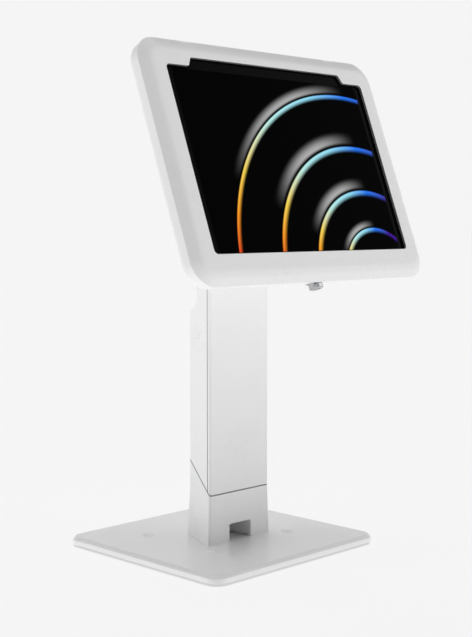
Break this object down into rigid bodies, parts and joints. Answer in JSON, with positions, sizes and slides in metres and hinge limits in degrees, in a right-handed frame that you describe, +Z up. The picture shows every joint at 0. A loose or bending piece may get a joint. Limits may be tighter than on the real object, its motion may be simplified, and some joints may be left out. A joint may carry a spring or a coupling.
{
  "type": "touchscreen kiosk",
  "caption": "Counter-top tablet kiosk: flat base, shouldered column, and a white head that tilts and turns, with a lockable hinged front frame.",
  "frame": {"origin": "centre of the base's underside, on the surface it stands on", "axes": "+Z up, the screen looks towards -Y, +X to the viewer's right"},
  "size_m": [0.2944, 0.2241, 0.451],
  "materials": {
    "painted_steel": "satin white powder coat",
    "painted_aluminium": "satin white powder coat",
    "white_plastic": "fine matt texture",
    "zinc_steel": "zinc plated",
    "bright_chrome": "polished",
    "dark_rubber": "matt",
    "tablet_metal": "anodised",
    "screen_glass": "polished, black border behind it",
    "display": "lit",
    "tablet_inside": "matt"
  },
  "bodies": {
    "stand": {"base_plate": "painted_steel", "base_pad": "dark_rubber", "hole_plugs": "white_plastic", "foot": "painted_aluminium", "foot_screws": "zinc_steel", "mast": "painted_steel", "mast_screws": "zinc_steel", "column_shell": "painted_aluminium", "shell_screws": "zinc_steel", "front_cover": "painted_aluminium", "cover_clips": "zinc_steel", "hinge_bracket": "painted_steel", "bracket_screws": "zinc_steel", "neck_cap": "white_plastic", "hinge_pin": "bright_chrome", "hinge_nut": "bright_chrome", "friction_washers": "dark_rubber"},
    "arm": {"tilt_arm": "painted_aluminium", "knuckle_bush": "zinc_steel", "swivel_spindle": "zinc_steel", "swivel_nut": "zinc_steel", "swivel_washers": "dark_rubber"},
    "head": {"swivel_plate": "painted_steel", "plate_spacers": "zinc_steel", "plate_screws": "zinc_steel", "rear_shell": "painted_aluminium", "frame_hinge_pins": "zinc_steel", "corner_pads": "dark_rubber", "tablet_housing": "tablet_metal", "tablet_battery": "tablet_inside", "tablet_board": "tablet_inside", "display_panel": "display", "cover_glass": "screen_glass", "camera_lens": "screen_glass", "lock_housing": "bright_chrome", "lock_nut": "zinc_steel"},
    "frame": {"front_frame": "painted_aluminium", "frame_gasket": "dark_rubber", "latch_catch": "zinc_steel", "catch_screws": "zinc_steel"},
    "lock": {"lock_plug": "bright_chrome", "lock_cam": "zinc_steel", "cam_screw": "zinc_steel"}
  },
  "joints": [
    {"name": "head_tilt", "type": "hinge", "parent": "stand", "child": "arm", "pos_m": [0, -0.00986, 0.3233], "axis": [1, 0, 0], "range_deg": [-50, 20]},
    {"name": "head_swivel", "type": "hinge", "parent": "arm", "child": "head", "pos_m": [0, -0.0895, 0.353], "axis": [0, -0.937, 0.3494], "range_deg": [-90, 90]},
    {"name": "frame_open", "type": "hinge", "parent": "head", "child": "frame", "pos_m": [0, -0.04419, 0.44817], "axis": [-1, 0, 0], "range_deg": [0, 40]},
    {"name": "lock_turn", "type": "hinge", "parent": "head", "child": "lock", "pos_m": [0, -0.11388, 0.24869], "axis": [0, 0.3494, 0.937], "range_deg": [0, 90]}
  ]
}
